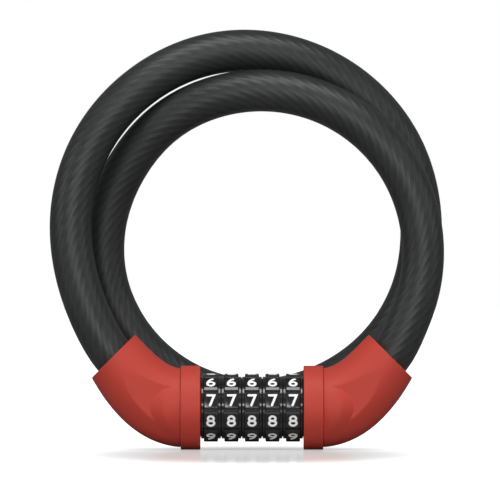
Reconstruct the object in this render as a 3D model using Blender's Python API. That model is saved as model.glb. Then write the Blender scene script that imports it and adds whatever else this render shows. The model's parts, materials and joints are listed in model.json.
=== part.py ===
"""Five-dial cable lock: two elbow housings, a row of number dials on a slotted sleeve, a toothed
bolt pin that pulls out of it, and a coated steel cable in two turns. Metres, +Z up, the lock's
axis along X. Left is -X, the fixed side; right is +X, the side that pulls off."""
import math

import bmesh
import bpy
import numpy as np
from mathutils import Matrix, Vector

MM = 0.001
GAP = 0.3 * MM            # clearance between pieces that touch on the real lock

# Dials and what they ride on
DIAL_COUNT = 5
DIAL_WIDTH = 8.06 * MM
DIAL_RIM_RADIUS = 12.65 * MM
DIAL_BORE_RADIUS = 9.45 * MM
TILE_COUNT = 10
TILE_RADIUS = 14.0 * MM
TILE_WIDTH = 5.85 * MM
TILE_BEVEL = 0.35 * MM
TILE_SHARE = 0.76         # share of a dial step that the tile fills, around the dial
DIAL_REST_TURN = math.radians(14)   # how far above the front the chosen digits stand

SLEEVE_RADIUS = 5.0 * MM
SLEEVE_BORE_RADIUS = 3.7 * MM
SLEEVE_PROUD = 1.65 * MM  # how far the sleeve reaches past the stack, into the right collar
RING_BORE_PLAY = 0.4 * MM
CODE_RING_WIDTH = 4.4 * MM
NOTCH_WIDTH = 3.2 * MM
DETENT_DEPTH = 0.35 * MM
DETENT_HALF_ANGLE = math.radians(6)

BOLT_RADIUS = 3.4 * MM
TOOTH_WIDTH = 2.6 * MM
TOOTH_LENGTH = 1.8 * MM
TOOTH_RADIUS = 6.7 * MM
BOLT_TIP = 1.0 * MM

SPRING_THICKNESS = 0.4 * MM
SPRING_WIDTH = 2.0 * MM
SPRING_BUMP = 0.4 * MM
CLIP_THICKNESS = 0.8 * MM
CLIP_HEIGHT = 2.0 * MM
CLIP_HALF_GAP = math.radians(26)

# Collars and housings
COLLAR_RADIUS = 17.1 * MM
COLLAR_LENGTH = 8.0 * MM
COLLAR_WALL = 2.6 * MM
COLLAR_FLANGE = 1.5 * MM
COLLAR_MOUTH_RADIUS = SLEEVE_RADIUS + 3.0 * MM
COLLAR_CHAMFER = 0.4 * MM
NECK_RADIUS = COLLAR_RADIUS - 1.0 * MM
SPIGOT_WALL = 2.2 * MM
FACET_DEPTH = 13.3 * MM   # the flat on the front and back of each housing, from the axis
END_RADIUS = 12.5 * MM    # the round face that the cable leaves
ELBOW_TILT = math.radians(45)
ELBOW_KNEE = 6.2 * MM     # from the neck's start to where the two axes meet
ELBOW_REACH = 29.7 * MM   # from there to the cable's end face
BOSS_LENGTH = 18.5 * MM   # half axes of the swelling beside the collar
BOSS_DEPTH = 17.3 * MM
BOSS_HEIGHT = 14.4 * MM
UPPER_START_SLOPE = math.radians(6)
LOWER_START_SLOPE = math.radians(4)
LOWER_END_SLOPE = math.radians(61)
UPPER_HANDLES = (6.5 * MM, 9.0 * MM)
LOWER_HANDLES = (16.5 * MM, 16.5 * MM)

CORE_LENGTH = 15.7 * MM
ANCHOR_PIN_RADIUS = 2.0 * MM
SEAT_DEPTH = 6.0 * MM     # how deep the sleeve and the bolt pin sit in their cores

# Cable
SHEATH_RADIUS = 8.6 * MM
ROPE_RADIUS = 4.0 * MM
ROPE_PLAY = 0.5 * MM
SHEATH_WALL = SHEATH_RADIUS - ROPE_RADIUS - ROPE_PLAY
SHEATH_INSERTION = 12.0 * MM
FERRULE_RADIUS = 6.2 * MM
FERRULE_LENGTH = 7.2 * MM
FERRULE_SOCKET = 5.6 * MM
TONGUE_THICKNESS = 6.0 * MM
TONGUE_HALF_HEIGHT = 3.5 * MM
COIL_HEIGHT = 86.0 * MM   # the coil's middle above the floor
# The cable's route around the coil's middle, from the left housing to the right one:
# degrees from +X, distance from the middle and depth behind the lock's axis, in millimetres
ROUTE = (
    (210, 73.4, 0.9), (198, 73.0, 1.8), (174, 74.4, 3.6), (150, 76.2, 6.4),
    (126, 77.2, 9.6), (102, 77.6, 12.8), (78, 76.4, 16.5), (54, 74.5, 20.0),
    (30, 72.3, 22.8), (6, 70.0, 24.7), (-18, 69.1, 25.6), (-42, 68.0, 26.0),
    (-66, 66.8, 26.1), (-90, 66.2, 26.1), (-114, 65.0, 26.0), (-138, 63.6, 25.6),
    (-162, 62.3, 24.2), (-186, 60.5, 21.2), (-210, 59.2, 17.0), (-234, 59.5, 12.6),
    (-258, 60.0, 9.0), (-282, 61.4, 6.4), (-306, 63.7, 4.6), (-330, 66.4, 3.2),
    (-354, 69.0, 2.0), (-378, 71.3, 0.9), (-390, 72.5, 0.4),
)
ROUTE_STEP = 14.0 * MM
ROUTE_END = 74.11 * MM     # from the coil's middle to where this route leaves the housing

SEGMENTS = 48
COARSE_SEGMENTS = 24
HOUSING_SEGMENTS = 40
HOUSING_STATIONS = 12

# Worked out from the sizes above
AXIS_HEIGHT = COLLAR_RADIUS
DIAL_PITCH = DIAL_WIDTH + GAP
STACK_HALF = DIAL_COUNT * DIAL_PITCH / 2
RING_BORE = SLEEVE_RADIUS + RING_BORE_PLAY
RING_RADIUS = DIAL_BORE_RADIUS - 2 * GAP   # twice, because a dial's bore has flats
NOTCH_RADIUS = TOOTH_RADIUS + GAP
SPACER_WIDTH = DIAL_PITCH - CODE_RING_WIDTH - 2 * GAP
COLLAR_START = STACK_HALF + GAP / 2
COLLAR_END = COLLAR_START + COLLAR_LENGTH
NECK_START = COLLAR_END + GAP
SPIGOT_RADIUS = COLLAR_RADIUS - COLLAR_WALL - GAP
CORE_START = COLLAR_START + COLLAR_FLANGE + GAP
CORE_RADIUS = SPIGOT_RADIUS - SPIGOT_WALL - GAP
ANCHOR_PIN_LENGTH = 2 * (CORE_RADIUS - 1.7 * MM)
KNEE_X = NECK_START + ELBOW_KNEE
FERRULE_START = SHEATH_INSERTION + GAP
PIN_HOLE_RADIUS = ANCHOR_PIN_RADIUS + GAP
TONGUE_CORNER = TONGUE_HALF_HEIGHT * (math.cos(ELBOW_TILT) + math.sin(ELBOW_TILT))
CORE_SLOT_START = KNEE_X - TONGUE_CORNER - GAP


def clear_scene():
    for item in list(bpy.data.objects):
        bpy.data.objects.remove(item, do_unlink=True)


def material(name, colour, roughness, metallic=0.0):
    """A plain Principled BSDF finish."""
    made = bpy.data.materials.new(name)
    made.use_nodes = True
    shader = made.node_tree.nodes["Principled BSDF"]
    shader.inputs["Base Color"].default_value = (*colour, 1.0)
    shader.inputs["Roughness"].default_value = roughness
    shader.inputs["Metallic"].default_value = metallic
    made.diffuse_color = (*colour, 1.0)
    return made


def add_object(name, data, finish):
    item = bpy.data.objects.new(name, data)
    bpy.context.scene.collection.objects.link(item)
    data.materials.append(finish)
    return item


def body_from_rings(name, rings, finish, closed=False):
    """A solid skinned over rings of equally many points. Closed joins the last ring to the
    first, as around a bore; otherwise the two end rings are filled."""
    shape = bmesh.new()
    rows = [[shape.verts.new(point) for point in ring] for ring in rings]
    pairs = list(zip(rows, rows[1:])) + ([(rows[-1], rows[0])] if closed else [])
    for low, high in pairs:
        for here in range(len(low)):
            after = (here + 1) % len(low)
            shape.faces.new((low[here], low[after], high[after], high[here]))
    if not closed:
        shape.faces.new(rows[0])
        shape.faces.new(rows[-1])
    bmesh.ops.recalc_face_normals(shape, faces=shape.faces[:])
    mesh = bpy.data.meshes.new(name)
    shape.to_mesh(mesh)
    shape.free()
    mesh.shade_smooth()
    mesh.set_sharp_from_angle(angle=math.radians(35))
    return add_object(name, mesh, finish)


def angle_steps(count):
    """Angles around the lock's axis, from straight down."""
    return [2 * math.pi * step / count - math.pi / 2 for step in range(count)]


def axis_point(x, radius, angle):
    """A point around the lock's axis; angle 0 is to the back, a quarter turn is up."""
    return (x, radius * math.cos(angle), AXIS_HEIGHT + radius * math.sin(angle))


def turned_body(name, profile, finish, segments=SEGMENTS, closed=True):
    """A body turned about the lock's axis from a profile of (x, radius)."""
    angles = angle_steps(segments)
    rings = [[axis_point(x, radius, angle) for angle in angles] for x, radius in profile]
    return body_from_rings(name, rings, finish, closed)


def rod(name, start, end, radius, finish, segments=COARSE_SEGMENTS):
    """A round rod between two points."""
    start, end = Vector(start), Vector(end)
    turn = (end - start).to_track_quat("Z", "Y")
    circle = [
        turn @ Vector((radius * math.cos(angle), radius * math.sin(angle), 0))
        for angle in angle_steps(segments)
    ]
    return body_from_rings(name, [[base + p for p in circle] for base in (start, end)], finish)


def block(name, low, high, finish, turn=None):
    """A box between two corners, which turn may place."""
    low, high = Vector(low), Vector(high)
    corners = [(low.y, low.z), (high.y, low.z), (high.y, high.z), (low.y, high.z)]
    rings = [[Vector((x, y, z)) for y, z in corners] for x in (low.x, high.x)]
    if turn:
        rings = [[turn @ point for point in ring] for ring in rings]
    return body_from_rings(name, rings, finish)


def combine(item, other, operation):
    """Cuts other out of item, adds it or keeps what they share, and hides other as a guide."""
    change = item.modifiers.new(operation.title(), "BOOLEAN")
    change.operation = operation
    change.solver = "EXACT"
    change.object = other
    other.hide_render = True
    other.display_type = "WIRE"


def elbow_frame(side):
    """Places x along the cable's way out of the housing, with z across it and the knee at 0."""
    across = Vector((-side * math.sin(ELBOW_TILT), 0, math.cos(ELBOW_TILT)))
    along = Vector((side * math.cos(ELBOW_TILT), 0, math.sin(ELBOW_TILT)))
    turn = Matrix((along, Vector((0, 1, 0)), across)).transposed().to_4x4()
    return Matrix.Translation((side * KNEE_X, 0, AXIS_HEIGHT)) @ turn


def along_elbow(side, distance):
    """The point at a distance inwards from the cable's end face."""
    return elbow_frame(side) @ Vector((ELBOW_REACH - distance, 0, 0))


# --- dials and lock works -----------------------------------------------------------------

def dial(number, finish):
    """One wheel: two plain rims and ten flat-topped tiles between them."""
    step = 2 * math.pi / TILE_COUNT
    half = TILE_SHARE * step / 2
    ramp = TILE_BEVEL / TILE_RADIUS
    outline = []
    for tile in range(TILE_COUNT):
        middle = math.pi - DIAL_REST_TURN + tile * step
        outline += [(middle - half, 0), (middle - half + ramp, 1),
                    (middle + half - ramp, 1), (middle + half, 0)]
    centre = dial_centre(number)
    rings = []
    for offset, raised in (
        (-DIAL_WIDTH / 2, False), (-TILE_WIDTH / 2, False), (-TILE_WIDTH / 2 + TILE_BEVEL, True),
        (TILE_WIDTH / 2 - TILE_BEVEL, True), (TILE_WIDTH / 2, False), (DIAL_WIDTH / 2, False),
    ):
        rings.append([
            axis_point(centre + offset, TILE_RADIUS if raised and top else DIAL_RIM_RADIUS, angle)
            for angle, top in outline
        ])
    for offset in (DIAL_WIDTH / 2, -DIAL_WIDTH / 2):
        rings.append([axis_point(centre + offset, DIAL_BORE_RADIUS, a) for a, _ in outline])
    return body_from_rings(f"dial_{number}", rings, finish, closed=True)


def dial_centre(number):
    return (number - (DIAL_COUNT + 1) / 2) * DIAL_PITCH


def spacer_start(number):
    return dial_centre(number) - DIAL_WIDTH / 2


def notch_outline():
    """The notch that lets a tooth through, at the top: (angle from the top, radius)."""
    wide = math.asin(NOTCH_WIDTH / 2 / RING_BORE)
    narrow = math.asin(NOTCH_WIDTH / 2 / NOTCH_RADIUS)
    return [(-wide, RING_BORE), (-narrow, NOTCH_RADIUS), (0.0, NOTCH_RADIUS),
            (narrow, NOTCH_RADIUS), (wide, RING_BORE)]


def notched_ring(name, start, width, bore_points, finish):
    """A ring on the sleeve whose bore follows bore_points, (angle from the top, radius)."""
    rings = []
    for x, outer in ((start, False), (start, True), (start + width, True), (start + width, False)):
        rings.append([
            axis_point(x, RING_RADIUS if outer else radius, math.pi / 2 - angle)
            for angle, radius in bore_points
        ])
    return body_from_rings(name, rings, finish, closed=True)


def code_ring(number, finish):
    """Turns with its dial: a gate for the tooth at the top and a detent at the other digits."""
    points = notch_outline()
    for digit in range(1, TILE_COUNT):
        middle = 2 * math.pi * digit / TILE_COUNT
        points += [(middle - DETENT_HALF_ANGLE, RING_BORE), (middle, RING_BORE + DETENT_DEPTH),
                   (middle + DETENT_HALF_ANGLE, RING_BORE)]
    start = spacer_start(number) + SPACER_WIDTH + GAP
    return notched_ring(f"code_ring_{number}", start, CODE_RING_WIDTH, points, finish)


def spacer(number, finish):
    """Keeps two code rings apart and leaves a pocket where the tooth waits."""
    points = notch_outline()
    plain_steps = 14
    first = points[-1][0]
    for step in range(1, plain_steps):
        points.append((first + (2 * math.pi - 2 * first) * step / plain_steps, RING_BORE))
    return notched_ring(f"spacer_{number}", spacer_start(number), SPACER_WIDTH, points, finish)


def sleeve(finish):
    """The tube that carries the stack: a slot for the teeth above, one for the spring below."""
    left = -(CORE_START + SEAT_DEPTH)
    right = STACK_HALF + SLEEVE_PROUD
    profile = [(left, SLEEVE_BORE_RADIUS), (left, SLEEVE_RADIUS),
               (right, SLEEVE_RADIUS), (right, SLEEVE_BORE_RADIUS)]
    body = turned_body("slotted_sleeve", profile, finish, COARSE_SEGMENTS)
    half = NOTCH_WIDTH / 2
    tooth_slot = block("tooth_slot_cutter", (-STACK_HALF, -half, AXIS_HEIGHT),
                       (right + SLEEVE_RADIUS, half, AXIS_HEIGHT + TOOTH_RADIUS), finish)
    half = SPRING_WIDTH / 2 + GAP
    spring_slot = block("spring_slot_cutter",
                        (-STACK_HALF, -half, AXIS_HEIGHT - TOOTH_RADIUS),
                        (STACK_HALF - GAP, half, AXIS_HEIGHT), finish)
    combine(body, tooth_slot, "DIFFERENCE")
    combine(body, spring_slot, "DIFFERENCE")
    return body


def bolt_pin(finish):
    """The round pin of the right side, with one tooth for each dial."""
    root = math.asin(TOOTH_WIDTH / 2 / BOLT_RADIUS)
    crest = math.asin(TOOTH_WIDTH / 2 / TOOTH_RADIUS)
    plain = [math.radians(angle) for angle in range(45, 316, 30)]
    angles = [0.0, crest, root] + plain + [-root, -crest]

    def ring(x, radius, toothed=False):
        return [
            axis_point(x, TOOTH_RADIUS if toothed and abs(angle) <= crest else radius,
                       math.pi / 2 - angle)
            for angle in angles
        ]

    first_tooth = spacer_start(1) + (SPACER_WIDTH - TOOTH_LENGTH) / 2
    rings = [ring(first_tooth - 2 * BOLT_TIP, BOLT_RADIUS - BOLT_TIP),
             ring(first_tooth - BOLT_TIP, BOLT_RADIUS)]
    for number in range(DIAL_COUNT):
        start = first_tooth + number * DIAL_PITCH
        rings += [ring(start, BOLT_RADIUS), ring(start, BOLT_RADIUS, True),
                  ring(start + TOOTH_LENGTH, BOLT_RADIUS, True),
                  ring(start + TOOTH_LENGTH, BOLT_RADIUS)]
    rings.append(ring(CORE_START + SEAT_DEPTH, BOLT_RADIUS))
    return body_from_rings("bolt_pin", rings, finish)


def click_spring(finish):
    """A leaf in the sleeve's lower slot, with a bump under each code ring's detents."""
    rest = SLEEVE_RADIUS - SPRING_BUMP - GAP / 2
    end = STACK_HALF - 2 * GAP
    line = [(-STACK_HALF + GAP, 0.0)]
    for number in range(1, DIAL_COUNT + 1):
        middle = spacer_start(number) + SPACER_WIDTH + GAP + CODE_RING_WIDTH / 2
        line += [(middle - 3 * SPRING_BUMP, 0.0), (middle - SPRING_BUMP / 2, SPRING_BUMP),
                 (middle + SPRING_BUMP / 2, SPRING_BUMP), (middle + 3 * SPRING_BUMP, 0.0)]
    line.append((end, 0.0))
    rings = []
    for x, bump in line:
        low = AXIS_HEIGHT - rest - bump
        rings.append([(x, y, z) for y, z in (
            (-SPRING_WIDTH / 2, low), (SPRING_WIDTH / 2, low),
            (SPRING_WIDTH / 2, low + SPRING_THICKNESS), (-SPRING_WIDTH / 2, low + SPRING_THICKNESS),
        )])
    return body_from_rings("click_spring", rings, finish)


def retaining_clip(finish):
    """A C-shaped clip that ends the stack, open at the top for the teeth."""
    start = COLLAR_START
    bore = SLEEVE_RADIUS + GAP
    rings = []
    steps = 20
    for step in range(steps + 1):
        angle = math.pi / 2 + CLIP_HALF_GAP + (2 * math.pi - 2 * CLIP_HALF_GAP) * step / steps
        rings.append([axis_point(x, radius, angle) for x, radius in (
            (start, bore), (start, bore + CLIP_HEIGHT),
            (start + CLIP_THICKNESS, bore + CLIP_HEIGHT), (start + CLIP_THICKNESS, bore),
        )])
    return body_from_rings("retaining_clip", rings, finish)


# --- collars, cores and housings ----------------------------------------------------------

def collar(side, name, finish):
    """The ring beside the dials, which holds the two housing shells together."""
    inner = COLLAR_RADIUS - COLLAR_WALL
    profile = [
        (COLLAR_START, COLLAR_MOUTH_RADIUS), (COLLAR_START, COLLAR_RADIUS - COLLAR_CHAMFER),
        (COLLAR_START + COLLAR_CHAMFER, COLLAR_RADIUS), (COLLAR_END - COLLAR_CHAMFER, COLLAR_RADIUS),
        (COLLAR_END, COLLAR_RADIUS - COLLAR_CHAMFER), (COLLAR_END, inner),
        (COLLAR_START + COLLAR_FLANGE, inner), (COLLAR_START + COLLAR_FLANGE, COLLAR_MOUTH_RADIUS),
    ]
    return turned_body(name, [(side * x, radius) for x, radius in profile], finish)


def core(side, name, bore_radius, finish):
    """The metal body inside a housing: a bore for the sleeve or bolt and a fork for the cable."""
    end = CORE_START + CORE_LENGTH
    body = turned_body(name, [(side * CORE_START, CORE_RADIUS), (side * end, CORE_RADIUS)],
                       finish, COARSE_SEGMENTS, closed=False)
    bore = rod(f"{name}_bore_cutter", (side * (CORE_START - SEAT_DEPTH), 0, AXIS_HEIGHT),
               (side * (CORE_START + SEAT_DEPTH + GAP), 0, AXIS_HEIGHT), bore_radius, finish)
    half = TONGUE_THICKNESS / 2 + GAP
    slot_ends = sorted((side * CORE_SLOT_START, side * (end + CORE_RADIUS)))
    slot = block(f"{name}_slot_cutter", (slot_ends[0], -half, AXIS_HEIGHT - 2 * CORE_RADIUS),
                 (slot_ends[1], half, AXIS_HEIGHT + 2 * CORE_RADIUS), finish)
    hole = rod(f"{name}_pin_cutter", (side * KNEE_X, -2 * CORE_RADIUS, AXIS_HEIGHT),
               (side * KNEE_X, 2 * CORE_RADIUS, AXIS_HEIGHT), PIN_HOLE_RADIUS, finish, 16)
    for cutter in (bore, slot, hole):
        combine(body, cutter, "DIFFERENCE")
    return body


def anchor_pin(side, name, finish):
    half = ANCHOR_PIN_LENGTH / 2
    return rod(name, (side * KNEE_X, -half, AXIS_HEIGHT), (side * KNEE_X, half, AXIS_HEIGHT),
               ANCHOR_PIN_RADIUS, finish, 16)


def ferrule(side, name, finish):
    """Swaged on the cable's steel rope, with a flat tongue that the anchor pin goes through."""
    frame = elbow_frame(side)
    mouth = ELBOW_REACH - FERRULE_START
    angles = angle_steps(COARSE_SEGMENTS)
    socket_radius = ROPE_RADIUS + GAP

    def ring(x, radius):
        return [frame @ Vector((x, radius * math.cos(a), radius * math.sin(a))) for a in angles]

    bottom = mouth - FERRULE_LENGTH
    floor = mouth - FERRULE_SOCKET
    body = body_from_rings(name, [
        ring(bottom, FERRULE_RADIUS), ring(mouth, FERRULE_RADIUS),
        ring(mouth, socket_radius), ring(floor, socket_radius),
    ], finish)
    half = TONGUE_THICKNESS / 2
    tongue = block(f"{name}_tongue", (-TONGUE_HALF_HEIGHT, -half, -TONGUE_HALF_HEIGHT),
                   ((bottom + floor) / 2, half, TONGUE_HALF_HEIGHT), finish, frame)
    hole = rod(f"{name}_eye_cutter", (side * KNEE_X, -2 * half, AXIS_HEIGHT),
               (side * KNEE_X, 2 * half, AXIS_HEIGHT), PIN_HOLE_RADIUS, finish, 16)
    combine(body, tongue, "UNION")
    combine(body, hole, "DIFFERENCE")
    return body


def bezier(start, start_handle, end_handle, end, share):
    """The point of a cubic curve at a share of its way."""
    rest = 1 - share
    weights = (rest ** 3, 3 * rest ** 2 * share, 3 * rest * share ** 2, share ** 3)
    return sum((w * p for w, p in zip(weights, (start, start_handle, end_handle, end))), Vector((0, 0)))


def elbow_contours(share):
    """The housing's lower and upper edges in the middle plane: (past the neck's start, above
    the axis), at a share of the way from the neck to the end face."""
    tilt = Vector((math.cos(ELBOW_TILT), math.sin(ELBOW_TILT)))
    across = Vector((-tilt.y, tilt.x))
    end = Vector((ELBOW_KNEE, 0)) + ELBOW_REACH * tilt
    low_start, low_end = Vector((0, -NECK_RADIUS)), end - END_RADIUS * across
    high_start, high_end = Vector((0, NECK_RADIUS)), end + END_RADIUS * across
    low_leave = Vector((math.cos(LOWER_START_SLOPE), math.sin(LOWER_START_SLOPE)))
    low_arrive = Vector((math.cos(LOWER_END_SLOPE), math.sin(LOWER_END_SLOPE)))
    high_leave = Vector((math.cos(UPPER_START_SLOPE), math.sin(UPPER_START_SLOPE)))
    low = bezier(low_start, low_start + LOWER_HANDLES[0] * low_leave,
                 low_end - LOWER_HANDLES[1] * low_arrive, low_end, share)
    high = bezier(high_start, high_start + UPPER_HANDLES[0] * high_leave,
                  high_end - UPPER_HANDLES[1] * tilt, high_end, share)
    return low, high


def ray_length(centre, way, half_axes):
    """How far a ray from a point inside an ellipsoid, in the axis's frame, runs inside it."""
    scaled_way = [w / h for w, h in zip(way, half_axes)]
    scaled_centre = [c / h for c, h in zip(centre, half_axes)]
    square = sum(w * w for w in scaled_way)
    cross = sum(w * c for w, c in zip(scaled_way, scaled_centre))
    rest = sum(c * c for c in scaled_centre) - 1
    return 0.0 if rest >= 0 else (math.sqrt(cross * cross - square * rest) - cross) / square


def housing_ring(side, share):
    """The housing's outline at a share of its way: a round section, cut flat at the front and
    the back, with the swelling that the collar's neck grows out of."""
    low, high = elbow_contours(share)
    centre = (low + high) / 2
    rise = (high - low) / 2
    height = rise.length
    up = rise / height
    depth = NECK_RADIUS + (END_RADIUS - NECK_RADIUS) * share
    middle = (centre.x, 0.0, centre.y)
    neck = (1e3, NECK_RADIUS, NECK_RADIUS)
    ring = []
    for angle in angle_steps(HOUSING_SEGMENTS):
        out, rising = math.cos(angle), math.sin(angle)
        way = (rising * up.x, out, rising * up.y)
        reach = 1 / math.hypot(out / depth, rising / height)
        reach = min(reach, FACET_DEPTH / max(abs(out), 1e-6))
        boss = (BOSS_LENGTH, BOSS_DEPTH, BOSS_HEIGHT)
        reach = max(reach, min(ray_length(middle, way, neck), ray_length(middle, way, boss)))
        ring.append((side * (NECK_START + middle[0] + reach * way[0]), reach * way[1],
                     AXIS_HEIGHT + middle[2] + reach * way[2]))
    return ring


def housing_shell(side, name, front, finish):
    """One half of an elbow housing, split front to back, hollow for the core and the cable."""
    angles = angle_steps(HOUSING_SEGMENTS)
    rings = [[axis_point(side * x, SPIGOT_RADIUS, a) for a in angles] for x in (CORE_START, NECK_START)]
    rings += [housing_ring(side, step / HOUSING_STATIONS) for step in range(HOUSING_STATIONS + 1)]
    body = body_from_rings(name, rings, finish)
    core_end = CORE_START + CORE_LENGTH + GAP
    core_room = rod(f"{name}_core_cutter", (side * (CORE_START - SEAT_DEPTH), 0, AXIS_HEIGHT),
                    (side * core_end, 0, AXIS_HEIGHT), CORE_RADIUS + GAP, finish)
    cable_room = rod(f"{name}_cable_cutter", along_elbow(side, ELBOW_REACH),
                     along_elbow(side, -SHEATH_INSERTION), SHEATH_RADIUS + GAP, finish)
    far = 4 * COLLAR_RADIUS
    ends = sorted((0.0, side * (NECK_START + 2 * ELBOW_REACH)))
    near, away = (-far, -GAP / 2) if front else (GAP / 2, far)
    half = block(f"{name}_half", (ends[0], near, -far), (ends[1], away, far), finish)
    combine(body, core_room, "DIFFERENCE")
    combine(body, cable_room, "DIFFERENCE")
    combine(body, half, "INTERSECT")
    return body


# --- cable --------------------------------------------------------------------------------

def smooth_route(points, step):
    """Points about a step apart on the natural cubic spline through the given points."""
    points = np.array(points)
    spans = np.linalg.norm(np.diff(points, axis=0), axis=1)
    knots = np.concatenate([[0.0], np.cumsum(spans)])
    count = len(points)
    system, right = np.eye(count), np.zeros((count, 3))
    for here in range(1, count - 1):
        before, after = spans[here - 1], spans[here]
        system[here, here - 1:here + 2] = before, 2 * (before + after), after
        right[here] = 6 * ((points[here + 1] - points[here]) / after
                           - (points[here] - points[here - 1]) / before)
    bend = np.linalg.solve(system, right)
    made = []
    for place in np.linspace(0, knots[-1], round(knots[-1] / step) + 1):
        span = min(int(np.searchsorted(knots, place, side="right")) - 1, count - 2)
        length, back, on = spans[span], knots[span + 1] - place, place - knots[span]
        made.append(
            (bend[span] * back ** 3 + bend[span + 1] * on ** 3) / (6 * length)
            + (points[span] / length - bend[span] * length / 6) * back
            + (points[span + 1] / length - bend[span + 1] * length / 6) * on
        )
    return made


def sheath_points():
    """The cable's centre line between the two depths that its coating reaches."""
    reach = along_elbow(-1, 0) - Vector((0, 0, COIL_HEIGHT))
    scale = round(reach.length / ROUTE_END, 4)   # keeps the coil meeting the housings
    coil = [
        (radius * MM * scale * math.cos(math.radians(turn)), depth * MM,
         COIL_HEIGHT + radius * MM * scale * math.sin(math.radians(turn)))
        for turn, radius, depth in ROUTE
    ]
    left = [along_elbow(-1, SHEATH_INSERTION), along_elbow(-1, 0)]
    right = [along_elbow(1, 0), along_elbow(1, SHEATH_INSERTION)]
    return smooth_route(left + coil + right, ROUTE_STEP)


def tube(name, points, radius, resolution, filled, finish):
    line = bpy.data.curves.new(name, "CURVE")
    line.dimensions = "3D"
    line.bevel_depth = radius
    line.bevel_resolution = resolution
    line.use_fill_caps = filled
    spline = line.splines.new("POLY")
    spline.points.add(len(points) - 1)
    for spot, point in zip(spline.points, points):
        spot.co = (*point, 1.0)
    return add_object(name, line, finish)


def cable(coating, steel):
    """The hollow coating, and the steel rope that runs on into both ferrules."""
    line = sheath_points()
    sheath = tube("cable_sheath", line, SHEATH_RADIUS, 3, False, coating)
    wall = sheath.modifiers.new("Wall", "SOLIDIFY")
    wall.thickness = SHEATH_WALL
    wall.offset = -1.0
    rope_end = SHEATH_INSERTION + FERRULE_SOCKET
    line = [along_elbow(-1, rope_end)] + line + [along_elbow(1, rope_end)]
    tube("cable_core", line, ROPE_RADIUS, 2, True, steel)


def build():
    clear_scene()
    red = material("red_plastic", (0.48, 0.045, 0.035), 0.35)
    black = material("black_plastic", (0.012, 0.012, 0.014), 0.25)
    coating = material("black_coating", (0.035, 0.038, 0.038), 0.4)
    steel = material("steel", (0.55, 0.56, 0.58), 0.35, 1.0)
    zinc = material("zinc", (0.5, 0.5, 0.52), 0.5, 1.0)
    brass = material("brass", (0.6, 0.42, 0.16), 0.35, 1.0)

    for side, word in ((-1, "left"), (1, "right")):
        collar(side, f"{word}_collar", red)
        housing_shell(side, f"{word}_housing_front", True, red)
        housing_shell(side, f"{word}_housing_back", False, red)
        anchor_pin(side, f"{word}_anchor_pin", steel)
        ferrule(side, f"{word}_ferrule", steel)
    core(-1, "left_core", SLEEVE_RADIUS + GAP, zinc)
    core(1, "right_core", BOLT_RADIUS + GAP, zinc)
    sleeve(steel)
    bolt_pin(steel)
    click_spring(steel)
    retaining_clip(steel)
    for number in range(1, DIAL_COUNT + 1):
        dial(number, black)
        code_ring(number, brass)
        spacer(number, steel)
    cable(coating, steel)


build()
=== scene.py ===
"""Looks of a coil cable lock: red elbow housings, black number dials and a coated steel cable."""
import json
import math

import bmesh
import bpy
import numpy as np
from mathutils import Matrix, Vector

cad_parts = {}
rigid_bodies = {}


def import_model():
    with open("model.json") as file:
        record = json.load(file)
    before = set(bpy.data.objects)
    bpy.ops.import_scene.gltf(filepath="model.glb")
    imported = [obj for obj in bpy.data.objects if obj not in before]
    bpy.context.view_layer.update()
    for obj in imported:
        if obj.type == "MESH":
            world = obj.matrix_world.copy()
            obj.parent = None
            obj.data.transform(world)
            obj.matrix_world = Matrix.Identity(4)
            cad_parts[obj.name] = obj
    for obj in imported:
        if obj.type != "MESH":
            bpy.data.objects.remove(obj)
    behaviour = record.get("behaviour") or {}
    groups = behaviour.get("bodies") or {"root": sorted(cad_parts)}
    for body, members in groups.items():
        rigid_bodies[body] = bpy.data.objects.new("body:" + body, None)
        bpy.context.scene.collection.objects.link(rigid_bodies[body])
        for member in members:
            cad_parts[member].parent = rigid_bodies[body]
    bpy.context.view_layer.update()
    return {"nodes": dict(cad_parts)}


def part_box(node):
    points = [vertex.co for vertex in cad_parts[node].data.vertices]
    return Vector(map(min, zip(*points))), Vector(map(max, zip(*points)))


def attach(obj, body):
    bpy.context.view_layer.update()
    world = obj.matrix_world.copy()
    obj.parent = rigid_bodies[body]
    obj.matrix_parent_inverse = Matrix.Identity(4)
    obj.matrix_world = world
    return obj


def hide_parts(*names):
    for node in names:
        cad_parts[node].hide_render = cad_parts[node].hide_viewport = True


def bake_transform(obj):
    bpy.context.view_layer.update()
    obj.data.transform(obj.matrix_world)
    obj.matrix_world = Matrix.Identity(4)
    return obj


bl_info = {
    "name": "Cable Lock Looks",
    "version": (1, 0, 0),
    "blender": (4, 5, 0),
    "location": "View3D > Sidebar > Cable Lock",
    "description": "Builds the visible surfaces of a five-dial cable lock around its frame",
    "category": "Add Mesh",
}

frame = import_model()

MM = 0.001
SIDES = {"left": -1, "right": 1}
SIDE_BODY = {"left": "lock_body", "right": "plug"}
DIAL_NODES = sorted(name for name in frame["nodes"] if name.startswith("dial_"))
DIGITS = 10

# Places read from the frame
DIAL_LOW, DIAL_HIGH = (Vector(corner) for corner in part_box(DIAL_NODES[0]))
COLLAR_LOW, COLLAR_HIGH = (Vector(corner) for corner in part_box("right_collar"))
AXIS_HEIGHT = (COLLAR_LOW.z + COLLAR_HIGH.z) / 2
COLLAR_RADIUS = (COLLAR_HIGH.z - COLLAR_LOW.z) / 2
DIAL_WIDTH = DIAL_HIGH.x - DIAL_LOW.x
FIT_GAP = 0.3 * MM  # between a collar and its housing
NECK_START = COLLAR_HIGH.x + FIT_GAP

# A ring-shaped lip on each dial's right face turns in a groove in the next piece, so that
# nothing shows between them
LIP_LOW = 11.0 * MM
LIP_HIGH = 11.8 * MM
LIP_REACH = 0.5 * MM
LIP_PLAY = 0.12 * MM

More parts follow.
